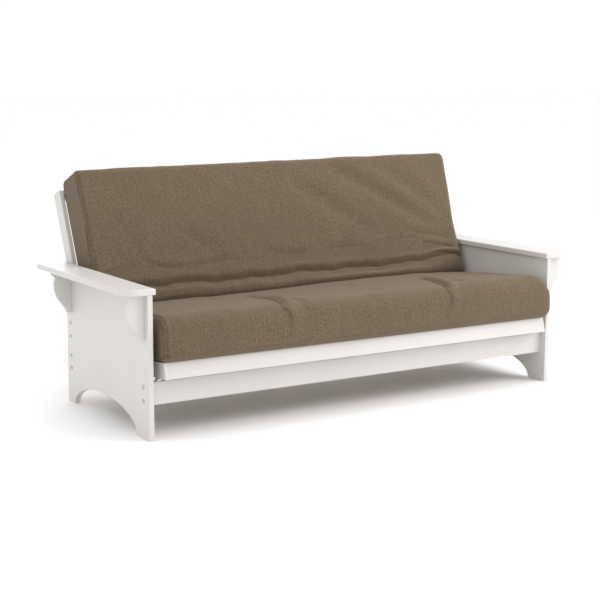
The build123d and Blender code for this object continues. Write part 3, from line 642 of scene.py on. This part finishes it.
# Each fold: points along it (x, u and h on the seat; x and u on the back), its depth and its width.
FOLDS = (
    (seat_spot, ((-0.350, -0.270, 0.228), (-0.356, -0.420, 0.231), (-0.366, -0.540, 0.231),
                 (-0.398, -0.660, 0.226), (-0.412, -0.715, 0.212), (-0.396, -0.739, 0.185),
                 (-0.386, -0.742, 0.150), (-0.420, -0.738, 0.095)), 0.0240, 0.015),
    (seat_spot, ((-0.300, -0.540, 0.230), (-0.318, -0.640, 0.227), (-0.314, -0.718, 0.210),
                 (-0.300, -0.740, 0.175)), 0.0080, 0.018),
    (seat_spot, ((0.545, -0.300, 0.228), (0.490, -0.480, 0.231), (0.446, -0.600, 0.230),
                 (0.410, -0.690, 0.221), (0.402, -0.728, 0.200), (0.410, -0.742, 0.165),
                 (0.392, -0.741, 0.125), (0.368, -0.738, 0.080)), 0.0230, 0.014),
    (seat_spot, ((0.620, -0.420, 0.228), (0.560, -0.560, 0.228), (0.530, -0.680, 0.220)), 0.0075, 0.024),
    (seat_spot, ((-0.900, -0.700, 0.215), (-0.865, -0.730, 0.190), (-0.850, -0.738, 0.150)), 0.0040, 0.012),
    (back_spot, ((0.250, 0.735), (0.420, 0.640), (0.600, 0.530), (0.800, 0.400)), 0.0105, 0.036),
    (back_spot, ((0.060, 0.660), (0.260, 0.520), (0.480, 0.370)), 0.0080, 0.040),
    (back_spot, ((0.560, 0.700), (0.720, 0.590), (0.880, 0.470)), 0.0055, 0.034),
    (back_spot, ((-0.550, 0.470), (-0.420, 0.380), (-0.300, 0.310)), 0.0045, 0.026),
    (back_spot, ((-0.905, 0.290), (-0.860, 0.303), (-0.800, 0.322)), 0.0060, 0.009),
    (back_spot, ((-0.560, 0.290), (-0.500, 0.300), (-0.420, 0.292)), 0.0045, 0.010),
    (back_spot, ((0.720, 0.322), (0.830, 0.300), (0.945, 0.272)), 0.0090, 0.011),
    (back_spot, ((0.760, 0.262), (0.860, 0.250), (0.945, 0.233)), 0.0075, 0.010),
    (back_spot, ((0.640, 0.380), (0.770, 0.355), (0.900, 0.330)), 0.0060, 0.014),
    (back_spot, ((-0.735, 0.352), (-0.690, 0.316), (-0.610, 0.296), (-0.520, 0.300)), 0.0080, 0.013),
    (back_spot, ((-0.500, 0.318), (-0.440, 0.300), (-0.350, 0.308), (-0.250, 0.300)), 0.0060, 0.015),
    (back_spot, ((-0.120, 0.330), (-0.020, 0.312), (0.100, 0.318)), 0.0050, 0.018),
    (back_spot, ((0.180, 0.318), (0.300, 0.326), (0.420, 0.312)), 0.0050, 0.015),
    (back_spot, ((-0.820, 0.560), (-0.760, 0.420), (-0.730, 0.330)), 0.0045, 0.030),
    (seat_spot, ((-0.880, -0.215, 0.222), (-0.800, -0.240, 0.224), (-0.700, -0.225, 0.224)), 0.0045, 0.014),
    (seat_spot, ((-0.600, -0.180, 0.222), (-0.520, -0.220, 0.226), (-0.460, -0.300, 0.228)), 0.0070, 0.018),
    (seat_spot, ((0.100, -0.200, 0.224), (0.160, -0.280, 0.228), (0.180, -0.380, 0.229)), 0.0045, 0.022),
    (seat_spot, ((-0.700, -0.680, 0.222), (-0.640, -0.730, 0.195), (-0.630, -0.742, 0.130)), 0.0040, 0.020),
    (seat_spot, ((-0.020, -0.690, 0.220), (0.030, -0.732, 0.190), (0.020, -0.742, 0.120)), 0.0035, 0.022),
    (seat_spot, ((0.760, -0.690, 0.220), (0.740, -0.734, 0.185), (0.760, -0.742, 0.120)), 0.0035, 0.020),
)


def read_points(mesh):
    flat = np.empty(len(mesh.vertices) * 3, np.float32)
    mesh.vertices.foreach_get("co", flat)
    return flat.reshape(-1, 3).astype(float)


def write_points(mesh, points):
    mesh.vertices.foreach_set("co", points.astype(np.float32).ravel())
    mesh.update()


def read_normals(mesh):
    flat = np.empty(len(mesh.vertices) * 3, np.float32)
    mesh.vertex_normals.foreach_get("vector", flat)
    return flat.reshape(-1, 3).astype(float)


def smooth_faces(mesh):
    for polygon in mesh.polygons:
        polygon.use_smooth = True


def swell(piece, held, firm):
    """Blows the cover up a little from inside with Cloth, capped, with the given vertices held."""
    before = read_points(piece.data)
    group = piece.vertex_groups.new(name="held")
    for weight, which in ((FIRM, firm), (1.0, held)):
        group.add([int(v) for v in which], weight, "REPLACE")
    cloth = piece.modifiers.new("cloth", "CLOTH")
    for key, value in CLOTH.items():
        setattr(cloth.settings, key, value)
    cloth.settings.effector_weights.gravity = 0.0
    cloth.collision_settings.use_collision = False
    cloth.point_cache.frame_start = 1
    cloth.point_cache.frame_end = SWELL_FRAMES
    for step in range(1, SWELL_FRAMES + 1):
        bpy.context.scene.frame_set(step)
    graph = bpy.context.evaluated_depsgraph_get()
    after = read_points(piece.evaluated_get(graph).data)
    piece.modifiers.remove(cloth)
    bpy.context.scene.frame_set(1)
    move = after - before
    far = np.linalg.norm(move, axis=1, keepdims=True)
    after = before + move * np.tanh(far / SWELL) * SWELL / np.maximum(far, 1e-9)
    past = np.abs(after[:, 0]) - (ARM_GAP - END_EASE)
    too_far = np.where(past > 0, past - END_EASE * np.tanh(past / END_EASE), 0)
    after[:, 0] -= np.sign(after[:, 0]) * too_far
    write_points(piece.data, after)


def subdivided(piece):
    """Applies one Catmull-Clark step."""
    step = piece.modifiers.new("smooth", "SUBSURF")
    step.levels = step.render_levels = 1
    graph = bpy.context.evaluated_depsgraph_get()
    finer = bpy.data.meshes.new_from_object(piece.evaluated_get(graph))
    piece.modifiers.remove(step)
    piece.data = finer


def worry(points, normals, free):
    """Broad unevenness of a filled pad, a few millimetres, the same on each run."""
    broad, small = Vector((LUMP_SEED, 0, 0)), Vector((0, LUMP_SEED, 0))
    heights = np.array([noise.noise(Vector(p) * BROAD_LUMPS + broad) * BROAD_SHARE
                        + noise.noise(Vector(p * SMALL_LUMPS) + small) * SMALL_SHARE
                        for p in points])
    points += normals * (heights * UNEVEN * free)[:, None]


def fold_along(points, normals, path, depth, width):
    """A soft fold along a line: a valley with a raised lip on one side, fading out at both ends."""
    line = smooth_line(path, FOLD_SAMPLES)
    line = evenly(line, max(8, int(length_of(line)[-1] / FOLD_STEP)))
    margin = FOLD_REACH * width
    near = np.where(np.all((points > line.min(0) - margin) & (points < line.max(0) + margin), axis=1))[0]
    gap = np.linalg.norm(points[near, None] - line[None], axis=2)
    closest = gap.argmin(axis=1)
    run = np.linspace(0, 1, len(line))[closest]
    tangent = np.gradient(line, axis=0)[closest]
    side = np.sign(np.einsum("ij,ij->i", np.cross(tangent, normals[near]), points[near] - line[closest]))
    across = gap[np.arange(len(near)), closest] * side
    fade = np.sin(np.clip(run, 0, 1) * math.pi) ** FOLD_FADE
    raised = np.exp(-((across + 1.9 * width) / (1.5 * width)) ** 2)
    shape = -np.exp(-(across / width) ** 2) + FOLD_LIP * raised
    points[near] += normals[near] * (shape * fade * depth)[:, None]


mesh, index = lattice_mesh("mattress", mattress_lattice())
mattress = bpy.data.objects.new("mattress", mesh)
bpy.context.scene.collection.objects.link(mattress)
mesh.materials.append(twill("mattress_cover"))
smooth_faces(mesh)

POCKET_FROM = ROWS_STRAIGHT + LIP_ROWS - 1
POCKET_TO = ROWS_STRAIGHT + LIP_ROWS + POCKET_ROWS + 1
held = np.concatenate([index[:, FREE_EDGE_ROWS:-FREE_EDGE_ROWS, 0].ravel(),
                       index[:, POCKET_FROM:POCKET_TO, -1].ravel(),
                       index[[0, -1], POCKET_FROM:POCKET_TO].ravel()])
ends = index[[0, -1]]
firm = np.concatenate([ends[:, :, [0, -1]].ravel(), ends[:, [0, -1]].ravel(),
                       index[:, POCKET_TO:POCKET_TO + FIRM_ROLL_ROWS, -1].ravel()])
swell(mattress, np.unique(held), np.unique(firm))
subdivided(mattress)
mesh = mattress.data
points, normals = read_points(mesh), read_normals(mesh)
seat_h = (points[:, 1:] - PIVOT) @ SEAT_UP
back_h = (points[:, 1:] - PIVOT) @ BACK_OUT
free = (np.minimum(seat_h, back_h) > UNDER + FREE_OVER_DECK) \
    & (np.abs(beyond(points[:, 1:])) > POCKET_HALF + FREE_OF_POCKET)
worry(points, normals, free.astype(float))
back_u = (points[:, 1:] - PIVOT) @ BACK_ALONG
over_board = np.clip((back_h - BOARD_TOP) / BOARD_TOP_EASE, 0, 1)
past_board = np.clip((back_u - BOARD_END) / BOARD_END_EASE, 0, 1)
wider = np.clip((back_u - WIDER_FROM) / WIDER_OVER, 0, 1) * np.maximum(over_board, past_board)
points[:, 0] += BACK_WIDER * wider * np.clip(points[:, 0] / HALF_LENGTH, 0, 1) ** 3
for spot_on, path, depth, width in FOLDS:
    fold_along(points, normals, [spot_on(*spot) for spot in path], depth, width)
ahead_of_arm = np.clip((ARM_FRONT - points[:, 1]) / ARM_EASE, 0, 1)
at_end = np.clip((points[:, 0] - BULGE_FROM) / BULGE_OVER, 0, 1)
halfway_up = np.clip(1 - ((seat_h - BULGE_HEIGHT) / BULGE_HALF) ** 2, 0, 1)
points[:, 0] += FRONT_BULGE * (ahead_of_arm * at_end) * halfway_up
write_points(mesh, points)
normals = read_normals(mesh)


# ---------------------------------------------------------------- mattress, its seams and stitches

SEAM_COLUMN, STITCH_COLUMN = 2, 4
SEAM_DEPTH, SEAM_WIDTH = 0.0040, 0.0034
SEAM_SAMPLES = 700
SEAM_REACH = 0.03
BACK_SEAM = 0.4               # the seam pulls in less where the cover lies over the back
STITCH_PITCH, STITCH_LENGTH, STITCH_RADIUS = 0.0068, 0.0044, 0.00055
STITCH_LIFT = 0.0002
STITCH_MARGIN = 0.01          # left free at each end of a seam
FOLD_MARGIN = 0.016           # and on each side of the fold
RINGS = ((-0.5, 0.25), (-0.36, 0.9), (0.36, 0.9), (0.5, 0.25))     # along a stitch, and how thick
CORNERS = [(math.cos(a), math.sin(a)) for a in (0, math.pi / 2, math.pi, 3 * math.pi / 2)]


def end_loop(column):
    """Vertices from the seat's front bottom edge over the pad to the back's top rear edge."""
    return np.concatenate([index[column, 0, :-1], index[column, :, -1], index[column, -1, -2::-1]])


for column in (SEAM_COLUMN, -1 - SEAM_COLUMN):
    seam = evenly(points[end_loop(column)], SEAM_SAMPLES)
    near = np.where(np.abs(points[:, 0] - seam[0, 0]) < SEAM_REACH)[0]
    gap = np.min([np.linalg.norm(points[near] - spot, axis=1) for spot in seam], axis=0)
    share = np.where(beyond(points[near, 1:]) > 0, BACK_SEAM, 1.0)
    points[near] -= normals[near] * (SEAM_DEPTH * share * np.exp(-(gap / SEAM_WIDTH) ** 2))[:, None]
write_points(mesh, points)
normals = read_normals(mesh)

stitch_points, stitch_faces = [], []
for column in (STITCH_COLUMN, -1 - STITCH_COLUMN):
    loop = end_loop(column)
    line = np.hstack([points[loop], normals[loop]])
    run = length_of(points[loop])
    for where in np.arange(STITCH_MARGIN, run[-1] - STITCH_MARGIN, STITCH_PITCH):
        spot, behind, ahead = (np.array([np.interp(where + d, run, line[:, c]) for c in range(6)])
                               for d in (0.0, -STITCH_LENGTH / 2, STITCH_LENGTH / 2))
        if abs(beyond(spot[1:3])) < FOLD_MARGIN:
            continue
        along_it = Vector(ahead[:3] - behind[:3]).normalized()
        out = Vector(spot[3:]).normalized()
        across_it = along_it.cross(out)
        middle = Vector(spot[:3]) + out * STITCH_LIFT
        first = len(stitch_points)
        for reach, girth in RINGS:
            for c, d in CORNERS:
                stitch_points.append(middle + along_it * reach * STITCH_LENGTH
                                     + (across_it * c + out * d) * girth * STITCH_RADIUS)
        sides, last = len(CORNERS), len(stitch_points) - len(CORNERS)
        for ring in range(first, last, sides):
            for n in range(sides):
                a, b = ring + n, ring + (n + 1) % sides
                stitch_faces.append((a, b, b + sides, a + sides))
        stitch_faces += [tuple(range(first + sides - 1, first - 1, -1)), tuple(range(last, last + sides))]
stitch_mesh = bpy.data.meshes.new("mattress_stitching")
stitch_mesh.from_pydata(stitch_points, [], stitch_faces)
stitch_mesh.update()
stitching = bpy.data.objects.new("mattress_stitching", stitch_mesh)
bpy.context.scene.collection.objects.link(stitching)
stitch_mesh.materials.append(thread("mattress_thread"))
smooth_faces(stitch_mesh)

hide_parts("seat_mattress", "back_mattress")
for piece in (mattress, stitching):
    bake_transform(piece)


# ---------------------------------------------------------------- studio

FLOOR_REACH = 60.0
FLOOR_DROP = 0.0005           # keeps the floor clear of the feet's undersides
FLOOR_WHITE = (0.955, 0.955, 0.955, 1.0)
SKY_WHITE, SKY_STRENGTH = (1.0, 1.0, 1.0, 1.0), 1.05
# Place, target, size, power and colour of each light.
LIGHTS = {
    "key": ((3.8, -3.2, 3.2), (0, 0, 0.4), 3.0, 122.0, (1.0, 0.985, 0.965)),
    "low_fill": ((-1.6, -4.6, 0.7), (0, 0, 0.15), 3.0, 6.0, (1.0, 0.99, 0.98)),
    "back_fill": ((0.4, 3.8, 0.9), (0, 0, 0.0), 3.5, 60.0, (1.0, 1.0, 1.0)),
    "top": ((0.5, -0.5, 4.5), (0, 0, 0.3), 4.0, 48.0, (1.0, 1.0, 1.0)),
}
CAMERA_PLACE = (-3.2073, -5.0620, 1.3973)
YAW, PITCH, ROLL = (math.radians(a) for a in (31.999, 9.522, 0.156))
SENSOR_WIDTH, FOCAL_LENGTH, FARTHEST = 36.0, 83.1, 200.0

scene = bpy.context.scene
corners = [(x * FLOOR_REACH, y * FLOOR_REACH, 0) for x, y in ((-1, -1), (1, -1), (1, 1), (-1, 1))]
floor_mesh = bpy.data.meshes.new("floor")
floor_mesh.from_pydata(corners, [], [(0, 1, 2, 3)])
floor = bpy.data.objects.new("floor", floor_mesh)
scene.collection.objects.link(floor)
paper = Graph("floor").finish(base_color=FLOOR_WHITE, roughness=0.9, specular_ior_level=0.1)
floor_mesh.materials.append(paper)
floor.location.z = -FLOOR_DROP

world = bpy.data.worlds.new("studio")
scene.world = world
world.use_nodes = True
background = world.node_tree.nodes["Background"]
background.inputs["Color"].default_value = SKY_WHITE
background.inputs["Strength"].default_value = SKY_STRENGTH

for name, (place, target, size, power, colour) in LIGHTS.items():
    data = bpy.data.lights.new(name, "AREA")
    data.size = size
    data.energy = power
    data.color = colour
    light = bpy.data.objects.new(name, data)
    scene.collection.objects.link(light)
    light.location = place
    light.rotation_euler = (Vector(target) - Vector(place)).to_track_quat("-Z", "Y").to_euler()

scene.view_settings.view_transform = "Standard"
scene.view_settings.look = "None"

camera = bpy.data.objects.new("camera", bpy.data.cameras.new("camera"))
scene.collection.objects.link(camera)
scene.camera = camera
camera.data.sensor_width = SENSOR_WIDTH
camera.data.lens = FOCAL_LENGTH
camera.data.clip_end = FARTHEST
forward = Vector((math.sin(YAW) * math.cos(PITCH), math.cos(YAW) * math.cos(PITCH), -math.sin(PITCH)))
right = Vector((math.cos(YAW), -math.sin(YAW), 0.0))
up = right.cross(forward)
turned_right = right * math.cos(ROLL) + up * math.sin(ROLL)
turned_up = up * math.cos(ROLL) - right * math.sin(ROLL)
axes = (turned_right, turned_up, -forward, CAMERA_PLACE)
camera.matrix_world = Matrix([*([axis[row] for axis in axes] for row in range(3)), (0, 0, 0, 1)])
